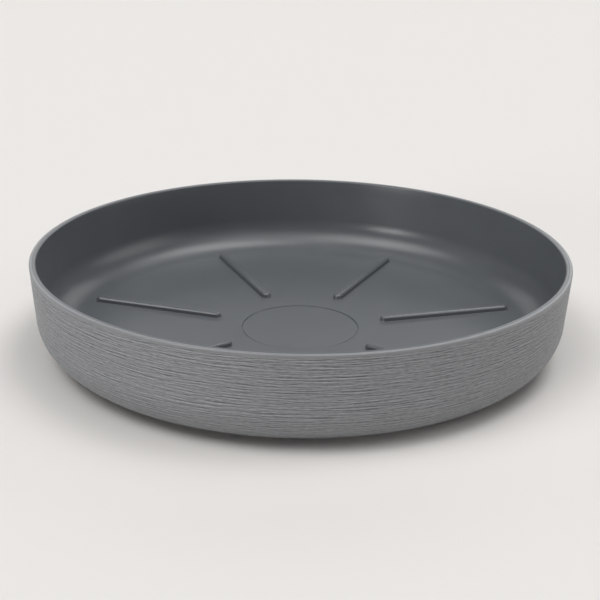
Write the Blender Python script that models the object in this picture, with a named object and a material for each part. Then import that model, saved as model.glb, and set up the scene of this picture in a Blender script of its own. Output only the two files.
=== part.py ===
"""Round plant saucer: a smooth ribbed tray set into a brushed outer shell that stands on soft pads.

The frame has +Z up, with the origin on the ground below the middle of the saucer.
"""

import math

import bmesh
import bpy
from mathutils import Matrix, Vector

MM = 0.001

# Overall form
RIM_RADIUS = 175.0 * MM
RIM_HEIGHT = 61.7 * MM
WALL_DRAFT = math.radians(3.9)
BASE_CORNER = 27.0 * MM

# Walls of the two mouldings and the clearance between them
SHELL_WALL = 2.1 * MM
SHELL_BASE = 2.4 * MM
TRAY_WALL = 2.0 * MM
TRAY_FLOOR = 2.8 * MM
SEAT_GAP = 0.3 * MM

# Flat rim, made of the top edges of tray and shell side by side
RIM_EDGE = 0.9 * MM
SEAM_EDGE = 0.2 * MM

# Round recess in the middle of the tray's floor, which rises gently from the recess to the wall
DISC_RADIUS = 39.2 * MM
DISC_DEPTH = 0.4 * MM
DISC_SLOPE = 0.3 * MM
FLOOR_SLOPE = math.radians(1.65)

# Raised ribs that keep the pot clear of the water
RIB_COUNT = 7
RIB_START = 55.8 * MM
RIB_END = 146.5 * MM
RIB_WIDTH = 6.2 * MM
RIB_HEIGHT = 3.5 * MM
RIB_FLAT = 1.2 * MM
RIB_CROWN = math.radians(50.0)
RIB_ROOT = 0.8 * MM
RIB_TURN = math.radians(11.7)

# Recess under the middle of the shell's base
GATE_RADIUS = 60.0 * MM
GATE_DEPTH = 0.8 * MM

# Soft pads, one below each rib
PAD_CIRCLE = 112.0 * MM
PAD_RADIUS = 8.0 * MM
PAD_SEAT = 0.8 * MM
PAD_STAND = 1.4 * MM
PAD_EDGE = 0.6 * MM

# Fineness of the round shapes
TURN_STEPS = 70
CORNER_STEPS = 8
EDGE_STEPS = 3
SEAM_STEPS = 2
RIB_END_STEPS = 8
RIB_CROWN_STEPS = 4
PAD_STEPS = 20
SMOOTH_ANGLE = math.radians(35.0)

# Heights and widths that follow from the sizes above
BASE_TOP = PAD_STAND + SHELL_BASE
TRAY_UNDER = BASE_TOP + SEAT_GAP
FLOOR = TRAY_UNDER + TRAY_FLOOR
TRAY_OFFSET = SHELL_WALL + SEAT_GAP
RIM_WIDTH = TRAY_OFFSET + TRAY_WALL
INNER_CORNER = BASE_CORNER - RIM_WIDTH

PLASTIC_INSIDE = (0.118, 0.127, 0.136, 1.0)
PLASTIC_OUTSIDE = (0.214, 0.221, 0.230, 1.0)
RUBBER = (0.030, 0.031, 0.033, 1.0)


def wall_radius(height, offset=0.0):
    """Radius of the tapered wall at a height, moved in from its outer face by the offset."""
    return RIM_RADIUS - (RIM_HEIGHT - height) * math.tan(WALL_DRAFT) - offset


def floor_rise(radius):
    """Height that the tray's floor gains from the edge of the recess out to a radius."""
    return (radius - DISC_RADIUS) * math.tan(FLOOR_SLOPE)


def wall_foot(level, offset):
    """Corner (r, z) where a floor that starts at this level meets the wall moved in by the offset."""
    lean = math.tan(WALL_DRAFT)
    slope = math.tan(FLOOR_SLOPE)
    radius = (wall_radius(level, offset) - lean * slope * DISC_RADIUS) / (1 - lean * slope)
    return radius, level + floor_rise(radius)


def corner_arc(before, corner, after, radius, steps):
    """Points of an arc that rounds one corner of an outline."""
    back = (Vector(before) - Vector(corner)).normalized()
    ahead = (Vector(after) - Vector(corner)).normalized()
    half = back.angle(ahead) / 2
    centre = Vector(corner) + (back + ahead).normalized() * (radius / math.sin(half))
    first = Vector(corner) + back * (radius / math.tan(half)) - centre
    last = Vector(corner) + ahead * (radius / math.tan(half)) - centre
    sweep = math.pi - 2 * half
    points = []
    for step in range(steps + 1):
        share = step / steps
        spoke = first * math.sin((1 - share) * sweep) + last * math.sin(share * sweep)
        points.append(centre + spoke / math.sin(sweep))
    return points


def rounded(outline):
    """Outline of (r, z) points, where a point with a radius and steps becomes an arc."""
    points = []
    for index, point in enumerate(outline):
        if len(point) == 2:
            points.append(Vector(point))
            continue
        r, z, radius, steps = point
        before = outline[index - 1][:2]
        after = outline[index + 1][:2]
        points.extend(corner_arc(before, (r, z), after, radius, steps))
    return points


def new_object(name, bm):
    """Mesh object made from a bmesh, with its faces turned outwards and shaded smooth."""
    bmesh.ops.recalc_face_normals(bm, faces=bm.faces)
    mesh = bpy.data.meshes.new(name)
    bm.to_mesh(mesh)
    bm.free()
    mesh.shade_smooth()
    mesh.set_sharp_from_angle(angle=SMOOTH_ANGLE)
    piece = bpy.data.objects.new(name, mesh)
    bpy.context.collection.objects.link(piece)
    return piece


def turned(name, outline, steps):
    """Solid of revolution about +Z, from an outline that starts and ends on the axis."""
    bm = bmesh.new()
    verts = [bm.verts.new((point.x, 0.0, point.y)) for point in rounded(outline)]
    edges = [bm.edges.new(pair) for pair in zip(verts, verts[1:])]
    bmesh.ops.spin(
        bm, geom=verts + edges, axis=(0, 0, 1), cent=(0, 0, 0), angle=2 * math.pi, steps=steps, use_merge=True
    )
    bmesh.ops.remove_doubles(bm, verts=bm.verts, dist=0.001 * MM)
    return new_object(name, bm)


def plastic(name, colour, roughness):
    """Principled material of one moulded plastic or rubber."""
    material = bpy.data.materials.new(name)
    material.use_nodes = True
    shader = material.node_tree.nodes["Principled BSDF"]
    shader.inputs["Base Color"].default_value = colour
    shader.inputs["Roughness"].default_value = roughness
    shader.inputs["Metallic"].default_value = 0.0
    return material


def combine(piece, tool, operation):
    """Join a tool to a piece or cut it out, and keep the tool as a hidden guide."""
    tool.hide_render = True
    tool.display_type = "WIRE"
    boolean = piece.modifiers.new(tool.name, "BOOLEAN")
    boolean.operation = operation
    boolean.solver = "EXACT"
    boolean.object = tool


def rib_angles():
    """Directions of the ribs, counted from +X."""
    return [RIB_TURN + 2 * math.pi * index / RIB_COUNT for index in range(RIB_COUNT)]


def rib_rings():
    """Rings of a rib from its root to its flat top, each a half width and a height above the floor."""
    half = RIB_WIDTH / 2
    bow = (half - RIB_FLAT / 2) / math.sin(RIB_CROWN)
    rings = [(half, -RIB_ROOT)]
    for step in range(RIB_CROWN_STEPS + 1):
        tilt = RIB_CROWN * (1 - step / RIB_CROWN_STEPS)
        rings.append((RIB_FLAT / 2 + bow * math.sin(tilt), RIB_HEIGHT - bow * (1 - math.cos(tilt))))
    return rings


def add_rib(bm, angle):
    """One raised bar along a radius, which follows the floor and has round ends and a crowned top."""
    spin = Matrix.Rotation(angle, 4, "Z")
    inset = RIB_WIDTH / 2
    loops = []
    for half, lift in rib_rings():
        loop = []
        for centre, facing in ((RIB_END - inset, 0.0), (RIB_START + inset, math.pi)):
            for step in range(RIB_END_STEPS + 1):
                turn = facing - math.pi / 2 + math.pi * step / RIB_END_STEPS
                along = centre + half * math.cos(turn)
                place = Vector((along, half * math.sin(turn), FLOOR + floor_rise(along) + lift))
                loop.append(bm.verts.new(spin @ place))
        loops.append(loop)
    bm.faces.new(loops[0])
    bm.faces.new(loops[-1])
    for lower, upper in zip(loops, loops[1:]):
        for here in range(len(lower)):
            bm.faces.new((lower[here - 1], lower[here], upper[here], upper[here - 1]))


def make_tray(material):
    """Smooth tray: floor with its round recess, inner fillet, wall, inner half of the rim and raised ribs."""
    outline = [
        (0.0, FLOOR - DISC_DEPTH),
        (DISC_RADIUS - DISC_SLOPE, FLOOR - DISC_DEPTH),
        (DISC_RADIUS, FLOOR),
        (*wall_foot(FLOOR, RIM_WIDTH), INNER_CORNER, CORNER_STEPS),
        (wall_radius(RIM_HEIGHT, RIM_WIDTH), RIM_HEIGHT, RIM_EDGE, EDGE_STEPS),
        (wall_radius(RIM_HEIGHT, TRAY_OFFSET), RIM_HEIGHT, SEAM_EDGE, SEAM_STEPS),
        (*wall_foot(TRAY_UNDER, TRAY_OFFSET), BASE_CORNER - TRAY_OFFSET, CORNER_STEPS),
        (DISC_RADIUS, TRAY_UNDER),
        (0.0, TRAY_UNDER),
    ]
    tray = turned("inner_tray", outline, TURN_STEPS)
    tray.data.materials.append(material)
    bm = bmesh.new()
    for angle in rib_angles():
        add_rib(bm, angle)
    combine(tray, new_object("tray_ribs", bm), "UNION")


def make_shell(material):
    """Outer shell: outer half of the rim, tapered wall, rounded lower edge and a base with pad seats."""
    outline = [
        (0.0, BASE_TOP),
        (wall_radius(BASE_TOP, SHELL_WALL), BASE_TOP, BASE_CORNER - SHELL_WALL, CORNER_STEPS),
        (wall_radius(RIM_HEIGHT, SHELL_WALL), RIM_HEIGHT, SEAM_EDGE, SEAM_STEPS),
        (RIM_RADIUS, RIM_HEIGHT, RIM_EDGE, EDGE_STEPS),
        (wall_radius(PAD_STAND), PAD_STAND, BASE_CORNER, CORNER_STEPS),
        (GATE_RADIUS, PAD_STAND),
        (GATE_RADIUS, PAD_STAND + GATE_DEPTH),
        (0.0, PAD_STAND + GATE_DEPTH),
    ]
    shell = turned("outer_shell", outline, TURN_STEPS)
    shell.data.materials.append(material)
    bm = bmesh.new()
    for angle in rib_angles():
        place = Matrix.Rotation(angle, 4, "Z") @ Matrix.Translation((PAD_CIRCLE, 0, PAD_STAND))
        bmesh.ops.create_cone(
            bm,
            cap_ends=True,
            segments=PAD_STEPS,
            radius1=PAD_RADIUS + SEAT_GAP,
            radius2=PAD_RADIUS + SEAT_GAP,
            depth=2 * PAD_SEAT,
            matrix=place,
        )
    combine(shell, new_object("pad_seats", bm), "DIFFERENCE")


def make_pads(material):
    """Soft pads: flat discs with a rounded lower edge, each standing in its seat."""
    pad_top = PAD_STAND + PAD_SEAT - SEAT_GAP
    outline = [
        (0.0, pad_top),
        (PAD_RADIUS, pad_top),
        (PAD_RADIUS, 0.0, PAD_EDGE, EDGE_STEPS),
        (0.0, 0.0),
    ]
    for number, angle in enumerate(rib_angles(), start=1):
        pad = turned(f"foot_pad_{number}", outline, PAD_STEPS)
        pad.data.materials.append(material)
        pad.location = (PAD_CIRCLE * math.cos(angle), PAD_CIRCLE * math.sin(angle), 0.0)
        pad.rotation_euler.z = angle


def main():
    for leftover in list(bpy.data.objects):
        bpy.data.objects.remove(leftover)
    make_tray(plastic("tray_plastic", PLASTIC_INSIDE, 0.42))
    make_shell(plastic("shell_plastic", PLASTIC_OUTSIDE, 0.5))
    make_pads(plastic("pad_rubber", RUBBER, 0.8))


main()
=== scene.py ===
"""Looks of the round plant saucer: smooth tray with ribs, brushed shell, soft pads and a studio stage.

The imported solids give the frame. Each visible surface is a grid of points worked out with numpy.
"""

import math

import bpy
import numpy as np
from bpy.props import FloatProperty, FloatVectorProperty, IntProperty, PointerProperty
from mathutils import Matrix, Vector


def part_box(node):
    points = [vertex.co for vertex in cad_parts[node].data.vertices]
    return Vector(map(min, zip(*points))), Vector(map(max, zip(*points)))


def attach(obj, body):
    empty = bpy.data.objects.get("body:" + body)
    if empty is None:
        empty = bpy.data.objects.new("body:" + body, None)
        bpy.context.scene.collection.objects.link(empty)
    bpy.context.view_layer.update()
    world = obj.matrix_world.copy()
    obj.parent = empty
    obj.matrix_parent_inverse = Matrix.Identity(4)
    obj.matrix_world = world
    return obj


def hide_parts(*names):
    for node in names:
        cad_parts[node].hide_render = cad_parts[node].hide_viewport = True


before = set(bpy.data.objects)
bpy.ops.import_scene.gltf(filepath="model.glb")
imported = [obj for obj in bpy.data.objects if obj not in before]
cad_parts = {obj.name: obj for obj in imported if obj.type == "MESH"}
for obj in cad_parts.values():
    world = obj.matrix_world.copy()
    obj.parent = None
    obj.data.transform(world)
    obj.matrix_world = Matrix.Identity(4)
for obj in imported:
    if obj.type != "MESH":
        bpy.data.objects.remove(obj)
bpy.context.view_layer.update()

bl_info = {
    "name": "Plant saucer",
    "version": (1, 0, 0),
    "blender": (4, 5, 0),
    "location": "View3D > Sidebar > Saucer",
    "description": "Builds the visible surfaces of a round plant saucer and its studio stage",
    "category": "Object",
}

MM = 0.001
TRAY_LOW, TRAY_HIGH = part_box("inner_tray")
SHELL_LOW, SHELL_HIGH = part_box("outer_shell")
PAD_LOW, PAD_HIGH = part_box("foot_pad_1")
PAD_NODES = sorted(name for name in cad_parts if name.startswith("foot_pad_"))


def length(name, description, default):
    """Property for one length of the saucer, in metres."""
    return FloatProperty(name=name, description=description, default=default, unit="LENGTH", precision=5)


def colour(name, description, default):
    """Property for one linear colour."""
    return FloatVectorProperty(
        name=name, description=description, default=default, subtype="COLOR", size=3, min=0, max=1
    )


def angle(name, description, degrees):
    """Property for one angle, given in degrees and kept in radians."""
    return FloatProperty(name=name, description=description, default=math.radians(degrees), subtype="ANGLE")


class SaucerSizes(bpy.types.PropertyGroup):
    """Sizes of the saucer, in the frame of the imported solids."""

    rim_height: length("Rim height", "Top of the rim above the ground", TRAY_HIGH.z)
    rim_radius: length("Rim radius", "Outer radius of the wall line at the rim", 175.0 * MM)
    wall_draft: angle("Wall draft", "Lean of the wall", 3.9)
    base_corner: length("Base corner", "Radius of the rounded lower edge", 27.0 * MM)
    base_height: length("Base height", "Underside of the shell above the ground", SHELL_LOW.z)
    base_thickness: length("Base thickness", "Thickness of the shell's base", 2.4 * MM)
    shell_wall: length("Shell wall", "Thickness of the shell's wall", 2.1 * MM)
    rim_width: length("Rim width", "Width of the flat rim", 4.4 * MM)
    rim_edge: length("Rim edge", "Radius of the rim's rounded edges", 0.9 * MM)
    seam_edge: length("Seam edge", "Radius of the edges on both sides of the seam in the rim", 0.06 * MM)
    seam_width: length("Seam width", "Width of the seam between tray and shell at the rim", 0.08 * MM)
    seat_gap: length("Seat gap", "Clearance between tray and shell", 0.3 * MM)
    floor_height: length("Floor height", "Top of the tray's floor above the ground at the recess", 6.9 * MM)
    floor_slope: angle("Floor slope", "Rise of the tray's floor towards the wall", 1.65)
    disc_radius: length("Disc radius", "Radius of the recess in the floor", 39.2 * MM)
    disc_depth: length("Disc depth", "Depth of the recess in the floor", 0.4 * MM)
    groove_width: length("Groove width", "Width of the fine groove round the recess", 0.9 * MM)
    groove_depth: length("Groove depth", "Depth of the fine groove below the recess", 0.6 * MM)
    rib_count: IntProperty(name="Ribs", description="Number of raised ribs", default=7, subtype="UNSIGNED")
    rib_turn: angle("Rib turn", "Direction of the first rib", 11.7)
    rib_start: length("Rib start", "Distance of the ribs' inner ends from the axis", 55.8 * MM)
    rib_end: length("Rib end", "Distance of the ribs' outer ends from the axis", 146.5 * MM)
    rib_width: length("Rib width", "Width of a rib", 6.2 * MM)
    rib_height: length("Rib height", "Height of a rib above the floor", 3.5 * MM)
    rib_flat: length("Rib flat", "Width of the flat strip on a rib's top", 3.2 * MM)
    rib_crown: angle("Rib crown", "Tilt of a rib's crowned top at its edge", 50.0)
    gate_radius: length("Gate radius", "Radius of the recess under the base", 60.0 * MM)
    gate_depth: length("Gate depth", "Depth of the recess under the base", 0.8 * MM)
    pad_circle: length("Pad circle", "Distance of the pads from the axis", 112.0 * MM)
    pad_radius: length("Pad radius", "Radius of a pad", 8.0 * MM)
    grain_depth: length("Grain depth", "Spread of the brushed grain's height", 0.1 * MM)


class SaucerColours(bpy.types.PropertyGroup):
    """Colours of the finishes."""

    tray: colour("Tray", "Smooth satin plastic of the tray", (0.108, 0.116, 0.124))
    shell: colour("Shell", "Brushed plastic of the shell", (0.222, 0.229, 0.238))
    pad: colour("Pads", "Soft rubber of the pads", (0.030, 0.031, 0.033))
    floor: colour("Floor", "Studio floor", (0.72, 0.70, 0.68))


class SaucerCamera(bpy.types.PropertyGroup):
    """Place and turn of the camera that matches the photograph."""

    back: length("Back", "Distance in front of the saucer's axis", 0.7483)
    above: length("Above", "Height above the rim", 0.2494)
    pitch: angle("Pitch", "Tilt down from the level", 20.87)
    heading: angle("Heading", "Turn to the right of the saucer's axis", -0.02)
    roll: angle("Roll", "Turn about the line of sight", 0.79)
    lens: FloatProperty(
        name="Lens", description="Focal length on a 36 mm sensor", default=72.0, unit="CAMERA"
    )


def straight(start, end, steps):
    """Points along a straight run, without its last one: start + t (end - start)."""
    share = np.arange(steps)[:, None] / steps
    return np.array(start) + share * (np.array(end) - np.array(start))


def bend(before, corner, after, radius, steps):
    """Points of the arc of a given radius that rounds the corner between two straight runs."""
    corner = np.array(corner)
    back = np.array(before) - corner
    ahead = np.array(after) - corner
    back = back / np.linalg.norm(back)
    ahead = ahead / np.linalg.norm(ahead)
    half = math.acos(float(back @ ahead)) / 2
    middle = (back + ahead) / np.linalg.norm(back + ahead)
    centre = corner + middle * radius / math.sin(half)
    first = corner + back * radius / math.tan(half) - centre
    last = corner + ahead * radius / math.tan(half) - centre
    sweep = math.pi - 2 * half
    share = np.linspace(0, 1, steps + 1)[:, None]
    return centre + (first * np.sin((1 - share) * sweep) + last * np.sin(share * sweep)) / math.sin(sweep)


def closed_surface(name, points):
    """Closed mesh from rows of points round the axis.

    The first and the last row lie on the axis as one point each.
    """
    rows, columns = points.shape[:2]
    corners = np.vstack([points[0, :1], points[1:-1].reshape(-1, 3), points[-1, :1]])
    index = 1 + np.arange((rows - 2) * columns).reshape(rows - 2, columns)
    beside = np.roll(index, -1, axis=1)
    quads = np.stack([index[:-1], index[1:], beside[1:], beside[:-1]], axis=-1).reshape(-1, 4)
    first = np.stack([np.zeros(columns, int), index[0], beside[0]], axis=-1)
    last = np.stack([index[-1], np.full(columns, len(corners) - 1), beside[-1]], axis=-1)
    mesh = bpy.data.meshes.new(name)
    mesh.from_pydata(corners.tolist(), [], first.tolist() + quads.tolist() + last.tolist())
    mesh.shade_smooth()
    mesh.validate()
    piece = bpy.data.objects.new(name, mesh)
    bpy.context.collection.objects.link(piece)
    return piece


def mark(piece, name, values):
    """Keep one value at each point of a closed surface."""
    flat = np.concatenate([values[0, :1], values[1:-1].ravel(), values[-1, :1]])
    attribute = piece.data.attributes.new(name, "FLOAT", "POINT")
    attribute.data.foreach_set("value", flat.astype(np.float32))


def dress(piece, nodes, material):
    """Give a piece its finish and let it stand for its solids."""
    piece.data.materials.append(material)
    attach(piece, "root")
    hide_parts(*nodes)


def wall_radius(sizes, height, offset=0.0):
    """Radius of the tapered wall at a height, moved in by the offset."""
    return sizes.rim_radius - (sizes.rim_height - height) * math.tan(sizes.wall_draft) - offset


def floor_level(sizes, radius):
    """Height of the tray's floor at a radius outside its recess."""
    return sizes.floor_height + (radius - sizes.disc_radius) * math.tan(sizes.floor_slope)


def wall_foot(sizes, level, offset):
    """Corner (r, z) where a floor with this level at the recess meets the wall moved in by the offset."""
    lean = math.tan(sizes.wall_draft)
    slope = math.tan(sizes.floor_slope)
    radius = (wall_radius(sizes, level, offset) - lean * slope * sizes.disc_radius) / (1 - lean * slope)
    return radius, level + (radius - sizes.disc_radius) * slope


def tray_outline(sizes):
    """Half section of the tray from the middle of its floor over the rim's inner half to its underside."""
    floor = sizes.floor_height
    top = sizes.rim_height
    disc = sizes.disc_radius
    recess = floor - sizes.disc_depth
    half = sizes.rib_width / 2
    offset = sizes.shell_wall + sizes.seat_gap
    under = sizes.base_height + sizes.base_thickness + sizes.seat_gap
    inner_foot = wall_foot(sizes, floor, sizes.rim_width)
    inner_top = (wall_radius(sizes, top, sizes.rim_width), top)
    seam_top = (wall_radius(sizes, top, sizes.shell_wall + sizes.seam_width), top)
    seam_foot = 0.9 * top
    seam_low = (wall_radius(sizes, seam_foot, offset), seam_foot)
    wall_start, wall_end = 0.57 * top, 0.97 * top
    under_foot = wall_foot(sizes, under, offset)
    ease = 0.06 * MM
    groove_in = (disc - sizes.groove_width, recess)
    groove_low = (disc - 0.9 * sizes.groove_width, recess - sizes.groove_depth)
    step_low = (disc - 0.45 * sizes.groove_width, recess - sizes.groove_depth)
    step_out = (disc, floor)
    near, clear = 0.6 * MM, 1.0 * MM
    rib_in, rib_out = sizes.rib_start, sizes.rib_end
    stops = [disc + clear, rib_in - clear, rib_in + half + near, rib_out - half - near]
    marks = [(radius, floor_level(sizes, radius)) for radius in stops]
    fillet = bend(step_out, inner_foot, inner_top, sizes.base_corner - sizes.rim_width, 120)
    runs = [
        straight((0.0, recess), (disc - 2 * clear, recess), 4),
        [(groove_in[0] - near, recess), (groove_in[0] - near / 3, recess)],
        bend((0.0, recess), groove_in, groove_low, ease, 2),
        bend(groove_in, groove_low, step_low, ease, 2),
        bend(groove_low, step_low, step_out, ease, 2),
        bend(step_low, step_out, inner_foot, ease, 2),
        straight(marks[0], marks[1], 4),
        straight(marks[1], marks[2], 26),
        straight(marks[2], marks[3], 10),
        straight(marks[3], fillet[0], 6),
        fillet[:12],
        fillet[12::4],
        straight(
            (wall_radius(sizes, wall_start, sizes.rim_width), wall_start),
            (wall_radius(sizes, wall_end, sizes.rim_width), wall_end),
            5,
        ),
        bend(inner_foot, inner_top, seam_top, sizes.rim_edge, 7),
        bend(inner_top, seam_top, seam_low, sizes.seam_edge, 4),
        [seam_low],
        bend(seam_low, under_foot, (disc, under), sizes.base_corner - offset, 12),
        straight((disc, under), (0.0, under), 3),
        np.array([(0.0, under)]),
    ]
    return np.vstack(runs)


def rib_section(sizes):
    """Half section of a rib as distances from its middle line and heights above the floor.

    A flat strip turns into a slope that steepens up to the crown angle. Below its edge come a steep side
    and a fillet.
    """
    half = sizes.rib_width / 2
    flat = sizes.rib_flat / 2
    edge = 0.12 * MM
    across = np.linspace(flat, half - edge, 7)
    tilt = sizes.rib_crown * np.linspace(0.56, 1, 6)
    fall = np.concatenate([[0.0], np.cumsum(np.tan(tilt)) * (across[1] - across[0])])
    crown = np.stack([across, sizes.rib_height - fall], axis=-1)
    shoulder = crown[-1, 1]
    side = np.array([(half - 0.2 * edge, shoulder - 1.4 * edge), (half, shoulder - 3 * edge)])
    foot = np.array([(0.05, 0.3), (0.09, 0.12), (0.16, 0.03), (0.28, 0.0)]) * MM + np.array((half, 0.0))
    return np.vstack([[(0.0, sizes.rib_height), (0.85 * flat, sizes.rib_height)], crown, side, foot])


def rib_lift(sizes, along, across):
    """Height of a rib above the floor at a place along and across it, from the distance to its spine."""
    half = sizes.rib_width / 2
    inward = sizes.rib_start + half - along
    outward = along - sizes.rib_end + half
    beyond = np.maximum(np.maximum(inward, outward), 0.0)
    distance = np.hypot(beyond, across)
    section = rib_section(sizes)
    return np.interp(distance, section[:, 0], section[:, 1])


def rib_columns(sizes):
    """Places across one rib for the columns of the grid, at the bends of its section and a little beyond."""
    bends = rib_section(sizes)[2:, 0]
    beside = sizes.rib_width * np.array([0.75, 1.0])
    places = np.concatenate([np.linspace(0, bends[0], 7)[:-1], bends, beside])
    return np.concatenate([-places[:0:-1], places])


def tray_points(sizes):
    """Grid of the tray: its outline turned about the axis, with the ribs raised from the floor.

    Close to a rib the columns run side by side with it. Between the ribs they fan out evenly.
    """
    outline = tray_outline(sizes)
    radius = outline[:, :1]
    reach = np.maximum(radius, 0.8 * sizes.rib_start)
    sector = math.pi / sizes.rib_count
    close = rib_columns(sizes) / reach
    edge = close[:, -1:]
    share = np.linspace(0, 1, 19)[None, 1:-1]
    between = edge + share * (2 * sector - 2 * edge)
    turn = np.hstack([close, between])
    inside = np.arange(len(outline))[:, None] <= np.argmax(outline[:, 0])
    lift = np.where(inside, rib_lift(sizes, radius * np.cos(turn), radius * np.sin(turn)), 0.0)
    lift[:, close.shape[1]:] = 0.0
    angles = np.hstack([sizes.rib_turn + 2 * sector * number + turn for number in range(sizes.rib_count)])
    height = np.tile(outline[:, 1:] + lift, sizes.rib_count)
    return np.stack([radius * np.cos(angles), radius * np.sin(angles), height], axis=-1)


def brushed_field(rows, columns, pitch, run, seed):
    """Periodic field of horizontal streaks with unit spread.

    White noise is kept where its waves are about one pitch high, in rows, and longer than one run, in
    columns. The weight of a wave of d pitches and a runs is d^2 exp(-d^2) exp(-a^2 / 2).
    """
    noise = np.random.default_rng(seed).standard_normal((rows, columns))
    down = np.fft.fftfreq(rows)[:, None] * pitch
    around = np.fft.fftfreq(columns)[None, :] * run
    keep = down ** 2 * np.exp(-down ** 2) * np.exp(-around ** 2 / 2)
    field = np.fft.ifft2(np.fft.fft2(noise) * keep).real
    return field / field.std()


def shell_outline(sizes):
    """Half section of the shell in three runs: inside up to the rim, wall with its lower edge, base."""
    top = sizes.rim_height
    base = sizes.base_height
    inside = base + sizes.base_thickness
    recess = base + sizes.gate_depth
    inner_foot = (wall_radius(sizes, inside, sizes.shell_wall), inside)
    inner_top = (wall_radius(sizes, top, sizes.shell_wall), top)
    outer_top = (wall_radius(sizes, top), top)
    outer_foot = (wall_radius(sizes, base), base)
    gate = (sizes.gate_radius, base)
    gate_top = (sizes.gate_radius, recess)
    edge = 0.2 * MM
    lower = bend(outer_top, outer_foot, gate, sizes.base_corner, 120)
    lower = np.vstack([lower[:85], lower[85::5]])
    before = np.vstack([
        straight((0.0, inside), (0.8 * inner_foot[0], inside), 2),
        bend((0.0, inside), inner_foot, inner_top, sizes.base_corner - sizes.shell_wall, 8),
        bend(inner_foot, inner_top, outer_top, sizes.seam_edge, 4),
        bend(inner_top, outer_top, outer_foot, sizes.rim_edge, 8),
    ])
    wall = np.vstack([straight(before[-1], lower[0], 97)[1:], lower])
    after = np.vstack([
        straight(lower[-1], (sizes.gate_radius + 1.0 * MM, base), 6)[1:],
        bend(lower[-1], gate, gate_top, edge, 3),
        bend(gate, gate_top, (0.0, recess), edge, 3),
        straight((0.7 * sizes.gate_radius, recess), (0.0, recess), 3),
        np.array([(0.0, recess)]),
    ])
    return before, wall, after


def shell_points(sizes):
    """Grid of the shell, its grain and its brushed part: the outline turned about the axis.

    The grain moves a point along the wall's normal, and fades out below the rim and round the lower edge.
    """
    before, wall, after = shell_outline(sizes)
    columns = 432
    slope = np.gradient(wall, axis=0)
    normal = np.stack([-slope[:, 1], slope[:, 0]], axis=-1) / np.linalg.norm(slope, axis=1)[:, None]
    top, low = wall[0, 1], wall[-1, 1]
    height = wall[:, 1]
    below_rim = np.clip((top - height) / (1.2 * MM), 0, 1)
    above_base = np.clip((height - low - 2.6 * MM) / (5.0 * MM), 0, 1)
    fade = below_rim * above_base
    coarse = brushed_field(len(wall), columns, 4.6, 17.0, 11)
    fine = brushed_field(len(wall), columns, 3.4, 4.2, 23)
    crest, trough = 1.6, -2.2
    field = np.clip(0.7 * coarse + 0.7 * fine, trough, crest) * fade[:, None]
    depth = (field - crest * fade[:, None]) * sizes.grain_depth
    wall_grid = wall[:, None, :] + depth[..., None] * normal[:, None, :]
    outline = np.vstack([before, wall, after])
    wall_rows = slice(len(before), len(before) + len(wall))
    grid = np.repeat(outline[:, None, :], columns, axis=1)
    grid[wall_rows] = wall_grid
    grain = np.zeros(grid.shape[:2])
    grain[wall_rows] = field
    brushed = np.zeros(grid.shape[:2])
    brushed[wall_rows] = fade[:, None]
    angles = np.arange(columns) * (2 * math.pi / columns)
    radius, level = grid[..., 0], grid[..., 1]
    return np.stack([radius * np.cos(angles), radius * np.sin(angles), level], axis=-1), grain, brushed


def pad_points(sizes):
    """Grid of one pad about its own axis: a disc with a rounded lower edge and a shallow dished face."""
    top = PAD_HIGH.z
    radius = sizes.pad_radius
    ring = 0.62 * radius
    dish = 0.25 * MM
    outline = np.vstack([
        straight((0.0, top), (radius, top), 3),
        bend((0.0, top), (radius, top), (radius, 0.0), 0.25 * MM, 4),
        bend((radius, top), (radius, 0.0), (0.0, 0.0), 0.6 * MM, 6),
        straight((radius - 1.2 * MM, 0.0), (ring + 0.6 * MM, 0.0), 3),
        bend((radius, 0.0), (ring, 0.0), (ring - 0.5 * MM, dish), 0.3 * MM, 3),
        bend((ring, 0.0), (ring - 0.5 * MM, dish), (0.0, dish), 0.3 * MM, 3),
        straight((0.6 * ring, dish), (0.0, dish), 3),
        np.array([(0.0, dish)]),
    ])
    angles = np.linspace(0, 2 * math.pi, 64, endpoint=False)
    radius = outline[:, :1]
    height = np.repeat(outline[:, 1:], len(angles), axis=1)
    return np.stack([radius * np.cos(angles), radius * np.sin(angles), height], axis=-1)


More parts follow.
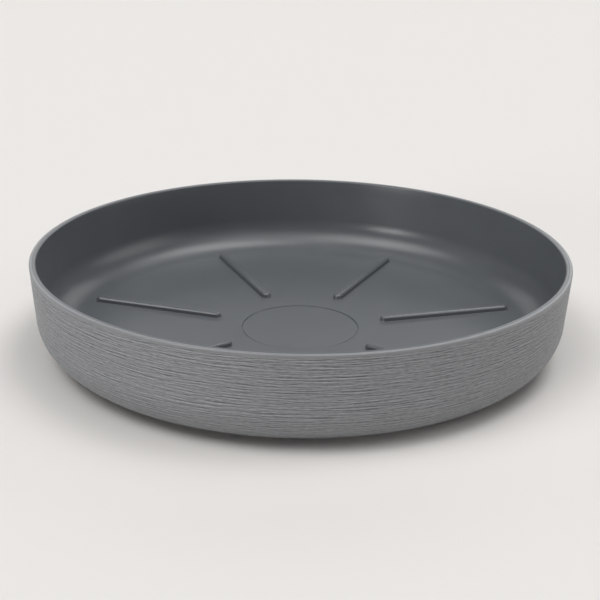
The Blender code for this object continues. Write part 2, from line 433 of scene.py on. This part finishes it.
class Nodes:
    """Node tree of one material, with short calls to add and join nodes."""

    def __init__(self, name):
        self.material = bpy.data.materials.new(name)
        self.material.use_nodes = True
        self.tree = self.material.node_tree
        self.shader = self.tree.nodes["Principled BSDF"]

    def add(self, kind, **settings):
        """New node with its settings."""
        node = self.tree.nodes.new(kind)
        for key, value in settings.items():
            setattr(node, key, value)
        return node

    def join(self, start, end):
        """Link from one node's output to another's input."""
        self.tree.links.new(start, end)

    def paint(self, colour):
        """Join a colour to the finish."""
        self.join(colour, self.shader.inputs["Base Color"])

    def polish(self, roughness):
        """Join a roughness to the finish."""
        self.join(roughness, self.shader.inputs["Roughness"])

    def stretched_noise(self, scale, stretch, detail, roughness):
        """Noise on the object's own coordinates, drawn out by the stretch along each axis."""
        place = self.add("ShaderNodeTexCoord")
        mapping = self.add("ShaderNodeMapping")
        mapping.inputs["Scale"].default_value = stretch
        noise = self.add("ShaderNodeTexNoise")
        noise.inputs["Scale"].default_value = scale
        noise.inputs["Detail"].default_value = detail
        noise.inputs["Roughness"].default_value = roughness
        self.join(place.outputs["Object"], mapping.inputs["Vector"])
        self.join(mapping.outputs["Vector"], noise.inputs["Vector"])
        return noise.outputs["Fac"]

    def tint(self, factor, low, high):
        """Colour that runs from low to high as the factor goes from a quarter to three quarters."""
        ramp = self.add("ShaderNodeValToRGB")
        ramp.color_ramp.elements[0].position = 0.25
        ramp.color_ramp.elements[0].color = (*low, 1.0)
        ramp.color_ramp.elements[1].position = 0.75
        ramp.color_ramp.elements[1].color = (*high, 1.0)
        self.join(factor, ramp.inputs["Fac"])
        return ramp.outputs["Color"]

    def span(self, factor, low, high):
        """Value that runs from low to high as the factor goes from a quarter to three quarters."""
        reach = self.add("ShaderNodeMapRange")
        reach.inputs["From Min"].default_value = 0.25
        reach.inputs["From Max"].default_value = 0.75
        reach.inputs["To Min"].default_value = low
        reach.inputs["To Max"].default_value = high
        self.join(factor, reach.inputs["Value"])
        return reach.outputs["Result"]

    def mix(self, share, first, second):
        """Value between two others: the first at share 0, the second at share 1."""
        node = self.add("ShaderNodeMix", data_type="FLOAT")
        for value, socket in zip((share, first, second), node.inputs[0:1] + node.inputs[2:4]):
            if isinstance(value, float):
                socket.default_value = value
            else:
                self.join(value, socket)
        return node.outputs[0]

    def bump(self, height, depth, strength):
        """Normals bent by a height of the given depth."""
        node = self.add("ShaderNodeBump")
        node.inputs["Strength"].default_value = strength
        node.inputs["Distance"].default_value = depth
        self.join(height, node.inputs["Height"])
        self.join(node.outputs["Normal"], self.shader.inputs["Normal"])


def scaled(base, factor):
    """Colour made lighter or darker by a factor."""
    return tuple(min(1.0, channel * factor) for channel in base)


def satin_plastic(colours):
    """Smooth satin plastic with a very fine moulded grain."""
    nodes = Nodes("tray_satin_plastic")
    cloud = nodes.stretched_noise(35.0, (1, 1, 1), 3.0, 0.5)
    grain = nodes.stretched_noise(2600.0, (1, 1, 1), 2.0, 0.6)
    nodes.paint(nodes.tint(cloud, scaled(colours.tray, 0.96), scaled(colours.tray, 1.04)))
    nodes.polish(nodes.span(cloud, 0.29, 0.33))
    nodes.bump(grain, 0.02 * MM, 0.25)
    return nodes.material


def brushed_plastic(colours):
    """Plastic with a brushed horizontal grain: streaks of lighter and darker grey with fine scratches,
    partly the grain's own tone and partly painted shade that darkens the grain's troughs.
    """
    nodes = Nodes("shell_brushed_plastic")
    grain = nodes.add("ShaderNodeAttribute", attribute_name="grain").outputs["Fac"]
    scratch = nodes.stretched_noise(1.0, (330, 330, 1500), 1.0, 0.5)
    brushed = nodes.add("ShaderNodeAttribute", attribute_name="brushed").outputs["Fac"]
    # Painted shade: the colour follows the grain's height and is darker where the grain sinks in, on top of
    # the grain's own lighter and darker tone.
    grain_tone_and_shade = nodes.mix(brushed, 0.5, nodes.mix(0.25, grain, scratch))
    nodes.paint(nodes.tint(grain_tone_and_shade, scaled(colours.shell, 0.24), scaled(colours.shell, 1.76)))
    nodes.polish(nodes.mix(brushed, 0.34, nodes.span(grain_tone_and_shade, 0.62, 0.44)))
    nodes.bump(grain_tone_and_shade, 0.3 * MM, 0.6)
    return nodes.material


def soft_rubber(colours):
    """Matt rubber with a fine grain."""
    nodes = Nodes("pad_soft_rubber")
    grain = nodes.stretched_noise(1800.0, (1, 1, 1), 3.0, 0.6)
    nodes.paint(nodes.tint(grain, scaled(colours.pad, 0.8), scaled(colours.pad, 1.2)))
    nodes.polish(nodes.span(grain, 0.72, 0.85))
    nodes.bump(grain, 0.05 * MM, 0.4)
    return nodes.material


class OBJECT_OT_saucer_tray(bpy.types.Operator):
    """Make the smooth tray with its ribs, its floor recess and the inner half of the rim"""

    bl_idname = "object.saucer_tray"
    bl_label = "Tray"

    def execute(self, context):
        piece = closed_surface("tray", tray_points(context.scene.saucer_sizes))
        dress(piece, ["inner_tray"], satin_plastic(context.scene.saucer_colours))
        return {"FINISHED"}


class OBJECT_OT_saucer_shell(bpy.types.Operator):
    """Make the brushed outer shell with the outer half of the rim"""

    bl_idname = "object.saucer_shell"
    bl_label = "Shell"

    def execute(self, context):
        points, grain, brushed = shell_points(context.scene.saucer_sizes)
        piece = closed_surface("shell", points)
        # The grain's height, kept for the finish, which paints the troughs darker as painted shade besides
        # the grain's own tone.
        mark(piece, "grain", 0.5 + 0.125 * grain)
        mark(piece, "brushed", brushed)
        dress(piece, ["outer_shell"], brushed_plastic(context.scene.saucer_colours))
        return {"FINISHED"}


class OBJECT_OT_saucer_pads(bpy.types.Operator):
    """Make the soft pads under the base"""

    bl_idname = "object.saucer_pads"
    bl_label = "Pads"

    def execute(self, context):
        sizes = context.scene.saucer_sizes
        rubber = soft_rubber(context.scene.saucer_colours)
        grid = pad_points(sizes)
        for node in PAD_NODES:
            low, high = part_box(node)
            middle = (low + high) / 2
            name = node.replace("foot_pad", "pad")
            piece = closed_surface(name, grid + np.array((middle.x, middle.y, 0.0)))
            dress(piece, [node], rubber)
        return {"FINISHED"}


def add_soft_light(name, elevation, side, spread, level):
    """Distant soft lamp, with its side counted from the camera towards the right.

    Level 1 alone lights white paper that faces the lamp fully.
    """
    data = bpy.data.lights.new(name, "SUN")
    data.angle = math.radians(spread)
    data.energy = math.pi * level
    rise, turn = math.radians(elevation), math.radians(side)
    towards = Vector((math.sin(turn) * math.cos(rise), -math.cos(turn) * math.cos(rise), math.sin(rise)))
    lamp = bpy.data.objects.new(name, data)
    lamp.rotation_euler = towards.to_track_quat("Z", "Y").to_euler()
    bpy.context.collection.objects.link(lamp)


def add_camera(sizes, view):
    """Camera with the pitch, heading and roll of the photograph."""
    forward = Vector((
        math.sin(view.heading) * math.cos(view.pitch),
        math.cos(view.heading) * math.cos(view.pitch),
        -math.sin(view.pitch),
    ))
    level = forward.cross(Vector((0, 0, 1))).normalized()
    upright = level.cross(forward)
    right = level * math.cos(view.roll) + upright * math.sin(view.roll)
    up = upright * math.cos(view.roll) - level * math.sin(view.roll)
    data = bpy.data.cameras.new("camera")
    data.lens = view.lens
    data.sensor_width = 36.0
    camera = bpy.data.objects.new("camera", data)
    turn = Matrix((right, up, -forward)).transposed().to_4x4()
    camera.matrix_world = Matrix.Translation((0, -view.back, sizes.rim_height + view.above)) @ turn
    bpy.context.collection.objects.link(camera)
    bpy.context.scene.camera = camera


def add_floor(colours):
    """Wide pale floor that takes the shadow."""
    size = 60.0
    mesh = bpy.data.meshes.new("floor")
    corners = [(-size, -size, 0), (size, -size, 0), (size, size, 0), (-size, size, 0)]
    mesh.from_pydata(corners, [], [(0, 1, 2, 3)])
    floor = bpy.data.objects.new("floor", mesh)
    bpy.context.collection.objects.link(floor)
    nodes = Nodes("studio_floor")
    nodes.shader.inputs["Base Color"].default_value = (*colours.floor, 1.0)
    nodes.shader.inputs["Roughness"].default_value = 0.9
    nodes.shader.inputs["Specular IOR Level"].default_value = 0.1
    mesh.materials.append(nodes.material)


def add_world():
    """Faint even light from all round."""
    world = bpy.data.worlds.new("studio")
    world.use_nodes = True
    background = world.node_tree.nodes["Background"]
    background.inputs["Color"].default_value = (1.0, 1.0, 1.0, 1.0)
    background.inputs["Strength"].default_value = 0.01
    bpy.context.scene.world = world


class OBJECT_OT_saucer_stage(bpy.types.Operator):
    """Make the floor, the lights and the camera"""

    bl_idname = "object.saucer_stage"
    bl_label = "Stage"

    def execute(self, context):
        scene = context.scene
        add_floor(scene.saucer_colours)
        add_world()
        add_soft_light("front_box", 70, 0, 50, 0.14)
        add_soft_light("front_left_box", 60, -45, 35, 0.2)
        add_soft_light("front_right_box", 50, 45, 35, 0.06)
        add_soft_light("top_left_box", 70, -45, 40, 0.05)
        add_soft_light("top_right_box", 70, 45, 40, 0.05)
        add_soft_light("left_box", 55, -75, 30, 0.2)
        add_soft_light("right_box", 70, 100, 30, 0.23)
        add_soft_light("right_back_box", 65, 130, 35, 0.14)
        add_soft_light("low_box", 10, -45, 15, 0.25)
        add_soft_light("left_low_box", 15, -90, 40, 0.03)
        add_soft_light("right_low_box", 15, 90, 40, 0.18)
        add_soft_light("back_left_box", 25, -155, 30, 0.09)
        add_soft_light("back_right_box", 25, 155, 30, 0.12)
        add_soft_light("back_box", 20, 180, 35, 0.04)
        add_camera(scene.saucer_sizes, scene.saucer_camera)
        scene.view_settings.view_transform = "Standard"
        return {"FINISHED"}


class VIEW3D_PT_saucer(bpy.types.Panel):
    """Sidebar panel with the saucer's sizes, colours and pieces"""

    bl_idname = "VIEW3D_PT_saucer"
    bl_label = "Plant saucer"
    bl_space_type = "VIEW_3D"
    bl_region_type = "UI"
    bl_category = "Saucer"

    def draw(self, context):
        for group in (context.scene.saucer_sizes, context.scene.saucer_colours, context.scene.saucer_camera):
            box = self.layout.box()
            for name in group.__annotations__:
                box.prop(group, name)
        for operator in OPERATORS:
            self.layout.operator(operator.bl_idname)


GROUPS = (SaucerSizes, SaucerColours, SaucerCamera)
OPERATORS = (OBJECT_OT_saucer_tray, OBJECT_OT_saucer_shell, OBJECT_OT_saucer_pads, OBJECT_OT_saucer_stage)


def register():
    """Make the panel, its properties and its operators known to Blender."""
    for group in GROUPS + OPERATORS + (VIEW3D_PT_saucer,):
        bpy.utils.register_class(group)
    bpy.types.Scene.saucer_sizes = PointerProperty(type=SaucerSizes)
    bpy.types.Scene.saucer_colours = PointerProperty(type=SaucerColours)
    bpy.types.Scene.saucer_camera = PointerProperty(type=SaucerCamera)


def unregister():
    """Take the panel, its properties and its operators away again."""
    del bpy.types.Scene.saucer_camera
    del bpy.types.Scene.saucer_colours
    del bpy.types.Scene.saucer_sizes
    for group in reversed(GROUPS + OPERATORS + (VIEW3D_PT_saucer,)):
        bpy.utils.unregister_class(group)


def main():
    """Build the saucer and its stage."""
    register()
    bpy.ops.object.saucer_tray()
    bpy.ops.object.saucer_shell()
    bpy.ops.object.saucer_pads()
    bpy.ops.object.saucer_stage()


if __name__ == "__main__":
    main()
